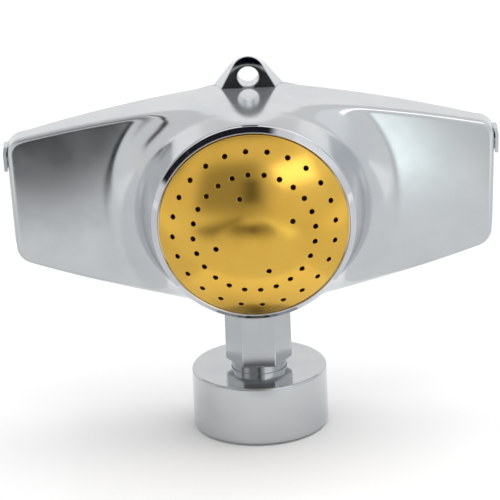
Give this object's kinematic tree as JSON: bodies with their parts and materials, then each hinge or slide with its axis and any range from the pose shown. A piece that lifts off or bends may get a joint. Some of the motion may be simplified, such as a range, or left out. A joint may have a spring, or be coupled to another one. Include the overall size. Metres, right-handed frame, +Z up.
{
  "type": "open fire sprinkler head",
  "caption": "Open water-spray head: winged chromed housing with a hanging lug, a domed gilt spray plate, a hexagonal stem and a swivelling pipe coupling at its foot.",
  "frame": {"origin": "centre of the inlet coupling's lower face, on the stem's axis, where the pipe goes in", "axes": "+Z up along the stem, -Y is the front that the spray plate faces, +X to the right seen from the back and to the viewer's right seen from the front"},
  "size_m": [0.1542, 0.0492, 0.1163],
  "materials": {
    "housing_chrome": "satin-bright chrome plate over a zinc casting",
    "cover_chrome": "satin-bright chrome plate over a zinc casting",
    "bezel_chrome": "bright chrome plate on turned brass",
    "stem_chrome": "satin-bright chrome plate on brass bar",
    "coupling_chrome": "bright chrome plate on turned brass",
    "plate_gilt": "bright gold-coloured plate on turned brass",
    "chamber_brass": "as machined",
    "collar_brass": "as machined",
    "screw_steel": "plain stainless steel",
    "strainer_steel": "perforated stainless sheet",
    "seal_rubber": "moulded, matt",
    "washer_fibre": "pressed fibre",
    "washer_acetal": "moulded acetal"
  },
  "bodies": {
    "head": {"housing": "housing_chrome", "rear_cover": "cover_chrome", "cover_gasket": "seal_rubber", "cover_screws": "screw_steel", "end_screws": "screw_steel", "bezel_ring": "bezel_chrome", "bezel_gasket": "seal_rubber", "spray_plate": "plate_gilt", "plate_o_ring": "seal_rubber", "water_chamber": "chamber_brass", "stem": "stem_chrome", "stem_o_ring": "seal_rubber", "stem_washer": "washer_fibre", "thrust_washer": "washer_acetal", "retaining_collar": "collar_brass", "collar_seal": "seal_rubber", "inlet_washer": "seal_rubber", "strainer_rim": "washer_acetal", "strainer_screen": "strainer_steel"},
    "coupling": {"inlet_coupling": "coupling_chrome"}
  },
  "joints": [
    {"name": "coupling_swivel", "type": "hinge", "parent": "head", "child": "coupling", "pos_m": [0, 0, 0.01], "axis": [0, 0, 1], "continuous": true}
  ]
}
